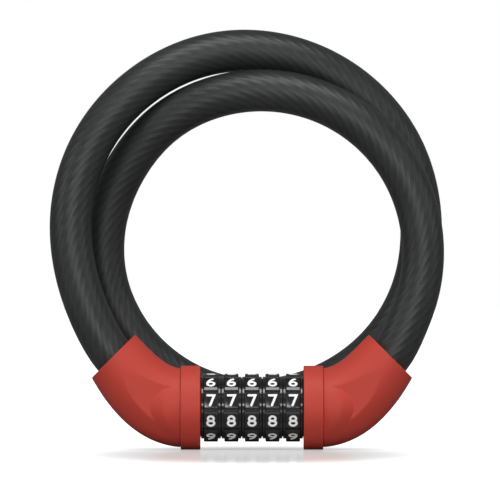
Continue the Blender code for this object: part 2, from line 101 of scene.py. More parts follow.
# The elbow's shape, as the CAD shells have it
ELBOW_TILT = math.radians(45)
ELBOW_KNEE = 6.2 * MM
ELBOW_REACH = 29.7 * MM
UPPER_START_SLOPE = math.radians(6)
LOWER_START_SLOPE = math.radians(4)
LOWER_END_SLOPE = math.radians(61)
UPPER_HANDLES = (6.5 * MM, 9.0 * MM)
LOWER_HANDLES = (16.5 * MM, 16.5 * MM)
NECK_RADIUS = 16.1 * MM
END_RADIUS = 12.5 * MM
FACET_DEPTH = 13.3 * MM
BOSS_LENGTH = 18.5 * MM
BOSS_DEPTH = 17.3 * MM
BOSS_HEIGHT = 14.4 * MM
KNEE_X = NECK_START + ELBOW_KNEE
ENDLESS = 1e3  # metres; half length of the cylinder, as wide as the neck, that bounds the swelling
GROOVE_WIDTH = 0.25 * MM  # of the line where the shells meet
HOLLOW_START = 12.0 * MM
HOLLOW_END = 8.8 * MM
HOUSING_AROUND = 150
HOUSING_STATIONS = 150
PARTING_TURN = 0.0015  # radians that each shell keeps away from the middle plane
# How the neck runs into the housing: further inwards and nearer to the collar
NECK_LIP = ((0.15 * MM, -0.22 * MM), (0.03 * MM, -0.16 * MM), (0.0, -0.05 * MM))

# Collars
COLLAR_FLANGE = 1.5 * MM
COLLAR_WALL = 2.6 * MM
COLLAR_MOUTH = 8.0 * MM
COLLAR_ROUND = 0.3 * MM

# Dials
DRUM_BORE = 9.45 * MM
DRUM_ROUND = 0.2 * MM
TILE_SEAT_DEPTH = 0.35 * MM
TILE_SEAT_PLAY = 0.05 * MM
TILE_HEIGHT = 2.0 * MM
TILE_CORNER = 0.25 * MM
TILE_EDGE_ROUND = 0.12 * MM
INK_THICKNESS = 0.05 * MM
INK_SINK = 0.12 * MM
INK_STEP = 0.004 * MM  # one stroke over another

# The cable's route around the coil's middle, from the left housing to the right one:
# degrees from +X, distance from the middle and depth behind the lock's axis, in millimetres
COIL_HEIGHT = 86.0 * MM
SHEATH_INSERTION = 12.0 * MM
ROUTE = (
    (210, 73.4, 0.9), (198, 73.0, 1.8), (174, 74.4, 3.6), (150, 76.2, 6.4),
    (126, 77.2, 9.6), (102, 77.6, 12.8), (78, 76.4, 16.5), (54, 74.5, 20.0),
    (30, 72.3, 22.8), (6, 70.0, 24.7), (-18, 69.1, 25.6), (-42, 68.0, 26.0),
    (-66, 66.8, 26.1), (-90, 66.2, 26.1), (-114, 65.0, 26.0), (-138, 63.6, 25.6),
    (-162, 62.3, 24.2), (-186, 60.5, 21.2), (-210, 59.2, 17.0), (-234, 59.5, 12.6),
    (-258, 60.0, 9.0), (-282, 61.4, 6.4), (-306, 63.7, 4.6), (-330, 66.4, 3.2),
    (-354, 69.0, 2.0), (-378, 71.3, 0.9), (-390, 72.5, 0.4),
)
CABLE_SIDES = 96
CABLE_STEP = 1.2 * MM

# Camera: what it looks at, how wide it sees there and from how far
VIEW_MIDDLE = Vector((-0.0008, 0.0, 0.0814))
VIEW_WIDTH = 0.204
VIEW_DISTANCE = 2.6

# Lamps: name, place, height of the point over the origin that it is turned to, size, power and
# whether it shows in reflections, in metres and watts
LAMPS = (
    ("top_soft_lamp", (0.0, -0.5, 1.15), 0.06, (1.0, 0.36), 9.5, True),
    ("front_soft_lamp", (0.0, -1.0, 0.95), 0.08, (1.3, 0.16), 0.6, True),
    ("low_front_lamp", (0.0, -1.9, 0.42), 0.08, (1.4, 0.22), 10.0, True),
    ("left_soft_lamp", (-1.1, -0.5, 0.45), 0.08, (0.3, 0.7), 2.4, True),
    ("right_soft_lamp", (1.1, -0.5, 0.45), 0.08, (0.3, 0.7), 1.8, True),
    ("fill_lamp", (0.0, -2.0, 0.30), 0.08, (1.2, 0.8), 9.5, False),
)

# Floor: its glow is weakest near a point before the lock and full beyond the far distance. This
# paints a pool of shade in front of the lock, and the real shadow also shows within it. Distances
# across count more by the narrowing.
FLOOR_REACH = 6.0
PAINTED_SHADE_FORWARD = 0.065
PAINTED_SHADE_NEAR = 0.05
PAINTED_SHADE_FAR = 0.14
PAINTED_SHADE_NARROWING = 1.6
PAINTED_SHADE_GLOW = 0.30
FLOOR_TONE_SEEN = (0.80, 0.80, 0.80)
FLOOR_TONE_LIT = (0.30, 0.30, 0.30)
SURROUNDINGS_LIGHT = 0.22


# --- settings a user would change ---------------------------------------------------------

def length(name, description, millimetres):
    return bpy.props.FloatProperty(name=name, description=description, default=millimetres * MM,
                                   unit="LENGTH", precision=5)


def colour(name, description, value):
    return bpy.props.FloatVectorProperty(name=name, description=description, default=value,
                                         subtype="COLOR", size=3, min=0.0, max=1.0)


class CableLockDialSettings(bpy.types.PropertyGroup):
    rim_radius: length("Rim radius", "Radius of a dial's plain rims", 12.65)
    face_radius: length("Tile face", "From the axis to the middle of a tile's flat face", 13.68)
    tile_width: length("Tile width", "Width of a tile along the axis", 5.85)
    tile_length: length("Tile length", "Length of a tile around the dial", 7.7)
    tile_chamfer: length("Tile chamfer", "Bevel at the tile's upper and lower edges", 0.85)
    digit_height: length("Digit height", "Height of a digit, outside", 5.0)
    digit_width: length("Digit width", "Width of a digit, outside", 3.7)
    digit_stroke: length("Digit stroke", "Width of a digit's line", 0.92)
    front_digit: bpy.props.IntProperty(
        name="Front digit", description="Digit that stands at the front", default=7, min=0, max=9)
    front_angle: bpy.props.FloatProperty(
        name="Front angle", description="How far the front digit stands above the level",
        default=math.radians(14), subtype="ANGLE")


class CableLockHousingSettings(bpy.types.PropertyGroup):
    edge_round: length("Edge rounding", "Rounding of the cable end's rim", 0.45)
    crease_round: length("Crease rounding", "How soft the creases between the faces are", 0.14)
    parting_groove: length("Parting groove", "Depth of the line where the shells meet", 0.16)


class CableLockCableSettings(bpy.types.PropertyGroup):
    diameter: length("Diameter", "Thickness of the coated cable", 17.2)
    strand_height: length("Strand relief", "How far the strands show through the coating", 0.02)
    strand_lay: length("Strand lay", "Length in which a strand turns once around", 100.0)
    strand_count: bpy.props.IntProperty(
        name="Strands", description="Strands that show through", default=18, min=1)


class CableLockFinishSettings(bpy.types.PropertyGroup):
    red: colour("Housing", "Red moulded plastic", (0.44, 0.046, 0.031))
    black: colour("Dials", "Black moulded plastic", (0.014, 0.014, 0.015))
    ink: colour("Digits", "White ink", (0.95, 0.95, 0.94))
    coating: colour("Cable coating", "Charcoal coating", (0.015, 0.0165, 0.016))
    steel: colour("Steel", "Bolt, sleeve and spring", (0.56, 0.57, 0.58))
    brass: colour("Brass", "Code rings", (0.60, 0.42, 0.17))
    zinc: colour("Zinc", "Cast cores", (0.46, 0.46, 0.48))


def settings(kind):
    return getattr(bpy.context.scene, f"cable_lock_{kind}")


# --- materials ----------------------------------------------------------------------------

class Signal:
    """A shader socket that plain arithmetic works on; each step adds a Math node."""

    def __init__(self, shade, socket):
        self.shade, self.socket = shade, socket

    def math(self, operation, *others, clamp=False):
        node = self.shade.node("ShaderNodeMath", {"operation": operation, "use_clamp": clamp},
                               dict(enumerate((self, *others))))
        return self.shade.signal(node, 0)

    def __add__(self, other):
        return self.math("ADD", other)

    __radd__ = __add__

    def __sub__(self, other):
        return self.math("SUBTRACT", other)

    def __rsub__(self, other):
        return (self * -1.0) + other

    def __mul__(self, other):
        return self.math("MULTIPLY", other)

    __rmul__ = __mul__

    def __truediv__(self, other):
        return self.math("DIVIDE", other)

    def __rtruediv__(self, other):
        return self.math("POWER", -1.0) * other

    def cosine(self):
        return self.math("COSINE")

    def clamped(self):
        return self.math("MULTIPLY", 1.0, clamp=True)


class Shade:
    """One node material around a Principled shader."""

    def __init__(self, name):
        self.material = bpy.data.materials.new(name)
        self.material.use_nodes = True
        self.tree = self.material.node_tree
        self.shader = self.tree.nodes["Principled BSDF"]

    def node(self, kind, options=None, inputs=None):
        made = self.tree.nodes.new(kind)
        for key, value in (options or {}).items():
            setattr(made, key, value)
        for key, value in (inputs or {}).items():
            self.feed(made.inputs[key], value)
        return made

    def feed(self, socket, value):
        if isinstance(value, Signal):
            self.tree.links.new(value.socket, socket)
        else:
            socket.default_value = value

    def signal(self, node, output):
        return Signal(self, node.outputs[output])

    def coordinates(self, scale=(1, 1, 1), kind="Object"):
        source = self.signal(self.node("ShaderNodeTexCoord"), kind)
        mapping = self.node("ShaderNodeMapping", None, {"Vector": source, "Scale": scale})
        return self.signal(mapping, 0)

    def noise(self, vector, scale, detail=3.0, roughness=0.55):
        made = self.node("ShaderNodeTexNoise", None, {
            "Vector": vector, "Scale": scale, "Detail": detail, "Roughness": roughness})
        return self.signal(made, "Fac")

    def mix(self, factor, first, second):
        made = self.node("ShaderNodeMix", {"data_type": "RGBA"},
                         {"Factor": factor, "A": (*first, 1.0) if isinstance(first, tuple) else first,
                          "B": (*second, 1.0) if isinstance(second, tuple) else second})
        return self.signal(made, 2)

    def bump(self, height, strength, distance):
        made = self.node("ShaderNodeBump", None,
                         {"Height": height, "Strength": strength, "Distance": distance})
        return self.signal(made, 0)

    def finish(self, **inputs):
        for key, value in inputs.items():
            self.feed(self.shader.inputs[key.replace("_", " ").title()], value)
        return self.material


def tinted(colour_value, factor):
    return tuple(min(1.0, channel * factor) for channel in colour_value)


def moulded_plastic(name, base, rough, shine, grain, spread):
    """Moulded plastic: faint flow clouds, a fine satin grain and slightly uneven gloss."""
    shade = Shade(name)
    place = shade.coordinates()
    clouds = shade.noise(place, 45.0)
    fine = shade.noise(place, 2600.0, 2.0)
    speck = shade.noise(place, 900.0, 4.0, 0.7)
    tone = shade.mix(clouds, tinted(base, 1 - spread), tinted(base, 1 + spread))
    gloss = rough + (speck - 0.5) * 0.10 + (clouds - 0.5) * 0.08
    shade.feed(shade.shader.inputs["Specular IOR Level"], shine)
    return shade.finish(base_color=tone, roughness=gloss.clamped(),
                        normal=shade.bump(fine, grain, 0.00004))


def ink_material(name, base):
    """Printed ink, a little uneven in cover."""
    shade = Shade(name)
    cover = shade.noise(shade.coordinates(), 1500.0, 3.0)
    tone = shade.mix(cover, tinted(base, 0.94), tinted(base, 1.03))
    return shade.finish(base_color=tone, roughness=(0.42 + cover * 0.12),
                        normal=shade.bump(cover, 0.15, 0.00003))


def coating_material(name, base, strands, lay):
    """Soft coating pulled over twisted strands: it dips between them. Its colour has painted shade in
    the dips and painted highlight on the crests, over the coating's own uneven tone.
    """
    shade = Shade(name)
    parts = shade.node("ShaderNodeSeparateXYZ", None, {"Vector": shade.coordinates(kind="UV")})
    around, along = shade.signal(parts, 0), shade.signal(parts, 1)
    turn = 2 * math.pi
    strand = ((around * strands - along / lay * strands) * turn).cosine()
    wires = ((around * strands * 4 - along / lay * strands * 4) * turn).cosine()
    place = shade.coordinates()
    clouds = shade.noise(place, 60.0, 4.0)
    skin = shade.noise(place, 1400.0, 3.0, 0.6)
    scuff = shade.noise(shade.coordinates((1.0, 1.0, 0.35)), 420.0, 5.0, 0.7)
    # Painted shade in the dips between strands and wires and painted highlight on their crests; the
    # clouds are the coating's own uneven tone
    factor = (0.5 + strand * 0.12 + wires * 0.06 + (clouds - 0.5) * 0.7).clamped()
    tone = shade.mix(factor, tinted(base, 0.5), tinted(base, 1.8))
    gloss = (0.41 - strand * 0.02 + (scuff - 0.5) * 0.16 + (clouds - 0.5) * 0.10).clamped()
    shade.feed(shade.shader.inputs["Specular IOR Level"], 0.38)
    relief = strand * 0.8 + wires * 0.25 + skin * 0.25 + scuff * 0.25
    return shade.finish(base_color=tone, roughness=gloss, normal=shade.bump(relief, 0.4, 0.00011))


def metal_material(name, base, rough, stretch):
    """Worked metal: lines drawn out by the stretch and cloudy wear."""
    shade = Shade(name)
    lines = shade.noise(shade.coordinates(stretch), 900.0, 4.0, 0.6)
    clouds = shade.noise(shade.coordinates(), 220.0, 3.0)
    tone = shade.mix(clouds, tinted(base, 0.8), tinted(base, 1.12))
    gloss = (rough + (lines - 0.5) * 0.2).clamped()
    return shade.finish(base_color=tone, roughness=gloss, metallic=1.0,
                        normal=shade.bump(lines, 0.25, 0.00003))


def material(kind):
    """The finish of that kind, made on first use. Its name differs from the frame's own plain
    materials, which are named after the kinds."""
    name = f"{kind}_finish"
    if name in bpy.data.materials:
        return bpy.data.materials[name]
    tint, cable = settings("finish"), settings("cable")
    makers = {
        "red_plastic": lambda: moulded_plastic(
            name, tuple(tint.red), rough=0.55, shine=0.24, grain=0.20, spread=0.05),
        "black_plastic": lambda: moulded_plastic(
            name, tuple(tint.black), rough=0.15, shine=0.50, grain=0.06, spread=0.15),
        "white_ink": lambda: ink_material(name, tuple(tint.ink)),
        "cable_coating": lambda: coating_material(
            name, tuple(tint.coating), cable.strand_count, cable.strand_lay),
        "steel": lambda: metal_material(
            name, tuple(tint.steel), rough=0.32, stretch=(0.08, 1, 1)),
        "brass": lambda: metal_material(
            name, tuple(tint.brass), rough=0.30, stretch=(1, 0.15, 0.15)),
        "zinc": lambda: metal_material(name, tuple(tint.zinc), rough=0.48, stretch=(1, 1, 1)),
    }
    return makers[kind]()


# --- shape helpers ------------------------------------------------------------------------

def object_from(name, mesh, finish=None, sharp=35):
    mesh.shade_smooth()
    mesh.set_sharp_from_angle(angle=math.radians(sharp))
    item = bpy.data.objects.new(name, mesh)
    bpy.context.scene.collection.objects.link(item)
    if finish:
        mesh.materials.append(finish)
    return item


def turn_outwards(mesh):
    """Makes every face of a closed mesh look outwards."""
    shape = bmesh.new()
    shape.from_mesh(mesh)
    bmesh.ops.recalc_face_normals(shape, faces=shape.faces[:])
    shape.to_mesh(mesh)
    shape.free()


def skin(name, rings, finish=None, closed=False, sharp=35):
    """A solid skinned over rings of equally many points; closed joins the last to the first."""
    count = len(rings[0])
    points = [tuple(point) for ring in rings for point in ring]
    rows = range(len(rings) if closed else len(rings) - 1)
    faces = []
    for row in rows:
        low, high = row * count, (row + 1) % len(rings) * count
        faces += [(low + i, low + (i + 1) % count, high + (i + 1) % count, high + i)
                  for i in range(count)]
    if not closed:
        faces += [tuple(range(count)), tuple(range(len(points) - count, len(points)))]
    mesh = bpy.data.meshes.new(name)
    mesh.from_pydata(points, [], faces)
    turn_outwards(mesh)
    return object_from(name, mesh, finish, sharp)


def axis_point(x, radius, angle):
    """A point around the lock's axis; angle 0 is to the back, a quarter turn is up."""
    return (x, radius * math.cos(angle), AXIS_HEIGHT + radius * math.sin(angle))


def turned(name, profile, finish, segments=160, closed=True):
    """A body turned about the lock's axis from a profile of (x, radius)."""
    angles = [2 * math.pi * step / segments - math.pi / 2 for step in range(segments)]
    return skin(name, [[axis_point(x, r, a) for a in angles] for x, r in profile], finish, closed)


def rounded_profile(corners, radius, steps=4):
    """The closed outline through corners, each rounded where radius allows."""
    outline = []
    for here, corner in enumerate(corners):
        before, after = Vector(corners[here - 1]), Vector(corners[(here + 1) % len(corners)])
        corner = Vector(corner)
        back, on = before - corner, after - corner
        trim = min(radius, back.length / 2, on.length / 2)
        start, end = corner + back.normalized() * trim, corner + on.normalized() * trim
        for step in range(steps + 1):
            share = step / steps
            outline.append(start * (1 - share) ** 2 + corner * 2 * share * (1 - share)
                           + end * share ** 2)
    return outline


# --- cable --------------------------------------------------------------------------------

def elbow_frame(side):
    """Places x along the cable's way out of the housing, with z across it and the knee at 0."""
    across = Vector((-side * math.sin(ELBOW_TILT), 0, math.cos(ELBOW_TILT)))
    along = Vector((side * math.cos(ELBOW_TILT), 0, math.sin(ELBOW_TILT)))
    turn = Matrix((along, Vector((0, 1, 0)), across)).transposed().to_4x4()
    return Matrix.Translation((side * KNEE_X, 0, AXIS_HEIGHT)) @ turn


def along_elbow(side, distance):
    """The point at a distance inwards from the cable's end face."""
    return elbow_frame(side) @ Vector((ELBOW_REACH - distance, 0, 0))


def smooth_route(points, step):
    """Points about a step apart on the natural cubic spline through the given points."""
    points = np.array(points)
    spans = np.linalg.norm(np.diff(points, axis=0), axis=1)
    knots = np.concatenate([[0.0], np.cumsum(spans)])
    count = len(points)
    system, right = np.eye(count), np.zeros((count, 3))
    for here in range(1, count - 1):
        before, after = spans[here - 1], spans[here]
        system[here, here - 1:here + 2] = before, 2 * (before + after), after
        right[here] = 6 * ((points[here + 1] - points[here]) / after
                           - (points[here] - points[here - 1]) / before)
    bend = np.linalg.solve(system, right)
    made = []
    for place in np.linspace(0, knots[-1], round(knots[-1] / step) + 1):
        span = min(int(np.searchsorted(knots, place, side="right")) - 1, count - 2)
        reach, back, on = spans[span], knots[span + 1] - place, place - knots[span]
        made.append(
            (bend[span] * back ** 3 + bend[span + 1] * on ** 3) / (6 * reach)
            + (points[span] / reach - bend[span] * reach / 6) * back
            + (points[span + 1] / reach - bend[span + 1] * reach / 6) * on
        )
    return np.array(made)


def cable_route(step):
    """The cable's middle line from inside the left housing to inside the right one."""
    coil = [
        (radius * MM * math.cos(math.radians(turn)), depth * MM,
         COIL_HEIGHT + radius * MM * math.sin(math.radians(turn)))
        for turn, radius, depth in ROUTE
    ]
    left = [along_elbow(-1, SHEATH_INSERTION), along_elbow(-1, 0)]
    right = [along_elbow(1, 0), along_elbow(1, SHEATH_INSERTION)]
    return smooth_route(left + coil + right, step)


class OBJECT_OT_cable_lock_cable(bpy.types.Operator):
    """Makes the coated cable, with its strands showing faintly through"""
    bl_idname = "object.cable_lock_cable"
    bl_label = "Cable"

    def execute(self, context):
        cable, sides = settings("cable"), CABLE_SIDES
        line = cable_route(CABLE_STEP)
        spans = np.linalg.norm(np.diff(line, axis=0), axis=1)
        run = np.concatenate([[0.0], np.cumsum(spans)])
        ways = np.gradient(line, axis=0)
        ways /= np.linalg.norm(ways, axis=1)[:, None]
        depth = Vector((0, 1, 0))
        points, faces, corners = [], [], []
        for spot, way, far in zip(line, ways, run):
            way = Vector(way)
            back = (depth - depth.dot(way) * way).normalized()
            out = way.cross(back)
            for side in range(sides):
                turn = 2 * math.pi * side / sides
                phase = cable.strand_count * (turn - 2 * math.pi * far / cable.strand_lay)
                radius = cable.diameter / 2 - cable.strand_height * (1 - math.cos(phase)) / 2
                points.append(Vector(spot) + radius * (math.cos(turn) * back + math.sin(turn) * out))
        for row in range(len(line) - 1):
            for side in range(sides):
                after = (side + 1) % sides
                faces.append((row * sides + side, row * sides + after,
                              (row + 1) * sides + after, (row + 1) * sides + side))
                corners += [(side / sides, run[row]), ((side + 1) / sides, run[row]),
                            ((side + 1) / sides, run[row + 1]), (side / sides, run[row + 1])]
        last = (len(line) - 1) * sides
        faces += [tuple(range(sides)), tuple(range(last, last + sides))]
        corners += [(side / sides, 0.0) for side in range(sides)]
        corners += [(side / sides, run[-1]) for side in range(sides)]
        mesh = bpy.data.meshes.new("cable")
        mesh.from_pydata(points, [], faces)
        layer = mesh.uv_layers.new(name="Strand")
        layer.data.foreach_set("uv", [value for corner in corners for value in corner])
        turn_outwards(mesh)
        item = object_from("cable", mesh, material("cable_coating"))
        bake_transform(item)
        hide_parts("cable_sheath", "cable_core")
        return {"FINISHED"}


# --- housings and collars -----------------------------------------------------------------

def bezier(start, start_handle, end_handle, end, share):
    rest = 1 - share
    return (start * rest ** 3 + start_handle * 3 * rest ** 2 * share
            + end_handle * 3 * rest * share ** 2 + end * share ** 3)


def heading(angle):
    return Vector((math.cos(angle), math.sin(angle)))


def elbow_contours(share):
    """The housing's lower and upper edges in the middle plane: (past the neck's start, above
    the axis), at a share of the way from the neck to the end face."""
    tilt = heading(ELBOW_TILT)
    across = Vector((-tilt.y, tilt.x))
    end = Vector((ELBOW_KNEE, 0)) + ELBOW_REACH * tilt
    low_start, low_end = Vector((0, -NECK_RADIUS)), end - END_RADIUS * across
    high_start, high_end = Vector((0, NECK_RADIUS)), end + END_RADIUS * across
    low = bezier(low_start, low_start + LOWER_HANDLES[0] * heading(LOWER_START_SLOPE),
                 low_end - LOWER_HANDLES[1] * heading(LOWER_END_SLOPE), low_end, share)
    high = bezier(high_start, high_start + UPPER_HANDLES[0] * heading(UPPER_START_SLOPE),
                  high_end - UPPER_HANDLES[1] * tilt, high_end, share)
    return low, high


def ray_length(centre, way, half_axes):
    """How far a ray from a point inside an ellipsoid, in the axis's frame, runs inside it."""
    scaled_way = [w / h for w, h in zip(way, half_axes)]
    scaled_centre = [c / h for c, h in zip(centre, half_axes)]
    square = sum(w * w for w in scaled_way)
    cross = sum(w * c for w, c in zip(scaled_way, scaled_centre))
    rest = sum(c * c for c in scaled_centre) - 1
    return 0.0 if rest >= 0 else (math.sqrt(cross * cross - square * rest) - cross) / square


def soft_least(first, second, blend):
    """The smaller value, rounded off where the two are within blend of each other."""
    share = max(blend - abs(first - second), 0.0) / blend
    return min(first, second) - share * share * blend / 4


def soft_most(first, second, blend):
    return -soft_least(-first, -second, blend)


def housing_ring(side, share, angles, inset=0.0, advance=0.0):
    """The housing's outline at a share of its way: a round section, cut flat at the front and
    the back, with the swelling that the collar's neck grows out of."""
    look = settings("housing")
    low, high = elbow_contours(share)
    centre = (low + high) / 2 + advance * heading(ELBOW_TILT * share)
    rise = (high - low) / 2
    height = rise.length
    up = rise / height
    depth = NECK_RADIUS + (END_RADIUS - NECK_RADIUS) * share
    middle = (centre.x, 0.0, centre.y)
    ring = []
    for angle in angles:
        out, rising = math.cos(angle), math.sin(angle)
        way = (rising * up.x, out, rising * up.y)
        reach = 1 / math.hypot(out / depth, rising / height)
        reach = soft_least(reach, FACET_DEPTH / max(abs(out), 1e-3), look.crease_round)
        swell = soft_least(ray_length(middle, way, (ENDLESS, NECK_RADIUS, NECK_RADIUS)),
                           ray_length(middle, way, (BOSS_LENGTH, BOSS_DEPTH, BOSS_HEIGHT)),
                           look.crease_round)
        reach = soft_most(reach, swell, look.crease_round)
        groove = math.exp(-(reach * out / GROOVE_WIDTH) ** 2)
        reach -= inset + look.parting_groove * groove
        ring.append(Vector((side * (NECK_START + middle[0] + reach * way[0]), reach * way[1],
                            AXIS_HEIGHT + middle[2] + reach * way[2])))
    return ring


def housing_shell(side, name, front):
    """One half of an elbow housing, as a hollow shell with its parting face."""
    edge = settings("housing").edge_round
    turn = math.pi - 2 * PARTING_TURN
    start = math.pi / 2 + PARTING_TURN if front else -math.pi / 2 + PARTING_TURN
    angles = [start + turn * step / HOUSING_AROUND for step in range(HOUSING_AROUND + 1)]
    places = [(0.0, inset, advance) for inset, advance in NECK_LIP]
    places += [(step / HOUSING_STATIONS, 0.0, 0.0) for step in range(1, HOUSING_STATIONS)]
    places += [(1.0, edge * (1 - math.cos(a)), edge * (math.sin(a) - 1))
               for a in (math.pi / 2 * step / 5 for step in range(6))]
    rings = []
    for share, inset, advance in places:
        outer = housing_ring(side, share, angles, inset, advance)
        low, high = elbow_contours(share)
        middle = (low + high) / 2 + advance * heading(ELBOW_TILT * share)
        up = (high - low).normalized()
        hollow = HOLLOW_START + (HOLLOW_END - HOLLOW_START) * share
        inner = [Vector((side * (NECK_START + middle.x + hollow * math.sin(a) * up.x),
                         hollow * math.cos(a),
                         AXIS_HEIGHT + middle.y + hollow * math.sin(a) * up.y))
                 for a in reversed(angles)]
        rings.append(outer + inner)
    return skin(name, rings, material("red_plastic"), sharp=50)


class OBJECT_OT_cable_lock_housings(bpy.types.Operator):
    """Makes the four shells of the two elbow housings"""
    bl_idname = "object.cable_lock_housings"
    bl_label = "Housings"

    def execute(self, context):
        for word, side in SIDES.items():
            for half in ("front", "back"):
                node = f"{word}_housing_{half}"
                item = housing_shell(side, f"{word}_elbow_{half}", half == "front")
                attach(item, SIDE_BODY[word])
                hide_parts(node)
        return {"FINISHED"}


class OBJECT_OT_cable_lock_collars(bpy.types.Operator):
    """Makes the two collar rings beside the dials"""
    bl_idname = "object.cable_lock_collars"
    bl_label = "Collars"

    def execute(self, context):
        start, end = COLLAR_LOW.x, COLLAR_HIGH.x
        inside = COLLAR_RADIUS - COLLAR_WALL
        rest = [(start, COLLAR_RADIUS), (end, COLLAR_RADIUS), (end, inside),
                (start + COLLAR_FLANGE, inside), (start + COLLAR_FLANGE, COLLAR_MOUTH)]
        lip = [(start, LIP_LOW), (start - LIP_REACH, LIP_LOW), (start - LIP_REACH, LIP_HIGH),
               (start, LIP_HIGH)]
        groove = [(start, LIP_LOW - LIP_PLAY), (start + LIP_REACH, LIP_LOW - LIP_PLAY),
                  (start + LIP_REACH, LIP_HIGH + LIP_PLAY), (start, LIP_HIGH + LIP_PLAY)]
        for word, side in SIDES.items():
            facing = lip if word == "left" else groove
            profile = rounded_profile([(start, COLLAR_MOUTH)] + facing + rest, COLLAR_ROUND)
            item = turned(f"{word}_ring", [(side * x, r) for x, r in profile],
                          material("red_plastic"))
            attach(item, SIDE_BODY[word])
            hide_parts(f"{word}_collar")
        return {"FINISHED"}


# --- dials --------------------------------------------------------------------------------

def arc(centre_x, centre_y, radius_x, radius_y, start, end, steps=14):
    """Points on part of an ellipse, in degrees from +X."""
    turns = [math.radians(start + (end - start) * step / steps) for step in range(steps + 1)]
    return [(centre_x + radius_x * math.cos(t), centre_y + radius_y * math.sin(t)) for t in turns]


def digit_strokes(digit, width, height):
    """The middle lines of a plain rounded digit, in a box of that width and height."""
    w, h = width / 2, height / 2
    bowl = h * 0.53
    low, high = -h + bowl, h - bowl * 0.97
    strokes = {
        0: [arc(0, 0, w, h, 0, 360, 36)],
        1: [[(-w * 0.55, h * 0.55), (w * 0.1, h), (w * 0.1, -h)]],
        2: [arc(0, high, w, bowl * 0.97, 165, -32) + [(-w, -h), (w, -h)]],
        3: [arc(0, high, w * 0.95, bowl * 0.95, 150, -90) + arc(0, low, w, bowl, 90, -150)],
        4: [[(w * 0.45, -h), (w * 0.45, h), (-w, -h * 0.35), (w, -h * 0.35)]],
        5: [[(w * 0.85, h), (-w * 0.75, h), (-w * 0.85, h * 0.12)]
            + arc(0, low, w, bowl * 1.03, 128, -150)],
        6: [arc(0, low, w, bowl, 0, 360, 30), arc(w * 1.05, low, w * 2.05, h * 1.42, 180, 106, 12)],
        7: [[(-w, h), (w, h), (-w * 0.18, -h)]],
        8: [arc(0, low, w, bowl, 0, 360, 30), arc(0, high, w * 0.86, bowl * 0.97, 0, 360, 30)],
        9: [arc(0, -low, w, bowl, 0, 360, 30),
            arc(-w * 1.05, -low, w * 2.05, h * 1.42, 0, -74, 12)],
    }
    return strokes[digit]


def digit_mesh(digit, look):
    """A raised digit drawn with a round pen, lying on z = 0 and facing +Z."""
    pen = look.digit_stroke / 2
    mesh = bpy.data.meshes.new(f"digit_{digit}")
    shape = bmesh.new()
    strokes = digit_strokes(digit, look.digit_width - 2 * pen, look.digit_height - 2 * pen)
    for level, stroke in enumerate(strokes):
        loop = math.dist(stroke[0], stroke[-1]) < 1e-6
        add_stroke(shape, [Vector(p) for p in (stroke[:-1] if loop else stroke)], pen, loop,
                   -INK_SINK, INK_THICKNESS + level * INK_STEP)
    bmesh.ops.recalc_face_normals(shape, faces=shape.faces[:])
    shape.to_mesh(mesh)
    shape.free()
    return object_from(f"digit_{digit}", mesh, sharp=40)


def add_stroke(shape, line, pen, loop, low, high):
    """One pen stroke as a closed solid between two heights, with round ends unless it loops."""
    count = len(line)
    left, right = [], []
    for here, spot in enumerate(line):
        before = line[here - 1] if loop or here else spot
        after = line[(here + 1) % count] if loop or here < count - 1 else spot
        first = (spot - before).normalized() if spot != before else (after - spot).normalized()
        second = (after - spot).normalized() if spot != after else first
        bisector = (first + second).normalized()
        across = Vector((-bisector.y, bisector.x))
        reach = pen / max(across.dot(Vector((-first.y, first.x))), 0.55)
        left.append(spot + across * reach)
        right.append(spot - across * reach)
    if loop:
        rings = [[shape.verts.new((p.x, p.y, z)) for p in edge]
                 for edge, z in ((right, low), (right, high), (left, high), (left, low))]
        for here in range(4):
            one, two = rings[here], rings[(here + 1) % 4]
            for step in range(count):
                after = (step + 1) % count
                shape.faces.new((one[step], one[after], two[after], two[step]))
        return
    outline = list(left)
    outline += cap_points(line[-1], line[-1] - line[-2], pen)
    outline += list(reversed(right))
    outline += cap_points(line[0], line[0] - line[1], pen)
    bottom = [shape.verts.new((p.x, p.y, low)) for p in outline]
    top = [shape.verts.new((p.x, p.y, high)) for p in outline]
    for here in range(len(outline)):
        after = (here + 1) % len(outline)
        shape.faces.new((bottom[here], bottom[after], top[after], top[here]))
    bmesh.ops.triangulate(shape, faces=[shape.faces.new(bottom), shape.faces.new(top)])


def cap_points(spot, way, pen, steps=8):
    """The inner points of a half circle around a stroke's end, from its left to its right."""
    turn = math.atan2(way.y, way.x)
    return [spot + pen * Vector((math.cos(turn + a), math.sin(turn + a)))
            for a in (math.pi / 2 - math.pi * step / steps for step in range(1, steps))]


def tile_mesh(look):
    """A dial's tile, facing +Z with its flat face at z = 0: chamfered above and below."""
    half_x, half_y = look.tile_width / 2, look.tile_length / 2
    chamfer, corner = look.tile_chamfer, TILE_CORNER
    levels = [  # how far in from the sides, in from the upper and lower edges, and down
        (0.0, 0.15 * MM, TILE_HEIGHT), (0.0, 0.0, chamfer + TILE_EDGE_ROUND),
        (0.02 * MM, 0.03 * MM, chamfer), (0.10 * MM, chamfer * 0.90, 0.10 * MM),
        (0.17 * MM, chamfer * 0.97, 0.04 * MM), (0.28 * MM, chamfer + TILE_EDGE_ROUND, 0.0),
    ]
    rings = []
    for side_in, edge_in, down in levels:
        ring = []
        x, y = half_x - side_in - corner, half_y - edge_in - corner
        for quarter, (sx, sy) in enumerate(((1, 1), (-1, 1), (-1, -1), (1, -1))):
            for step in range(4):
                turn = math.pi / 2 * (quarter + step / 3)
                ring.append((sx * x + corner * math.cos(turn),
                             sy * y + corner * math.sin(turn), -down))
        rings.append(ring)
    return skin("tile", rings, sharp=25)


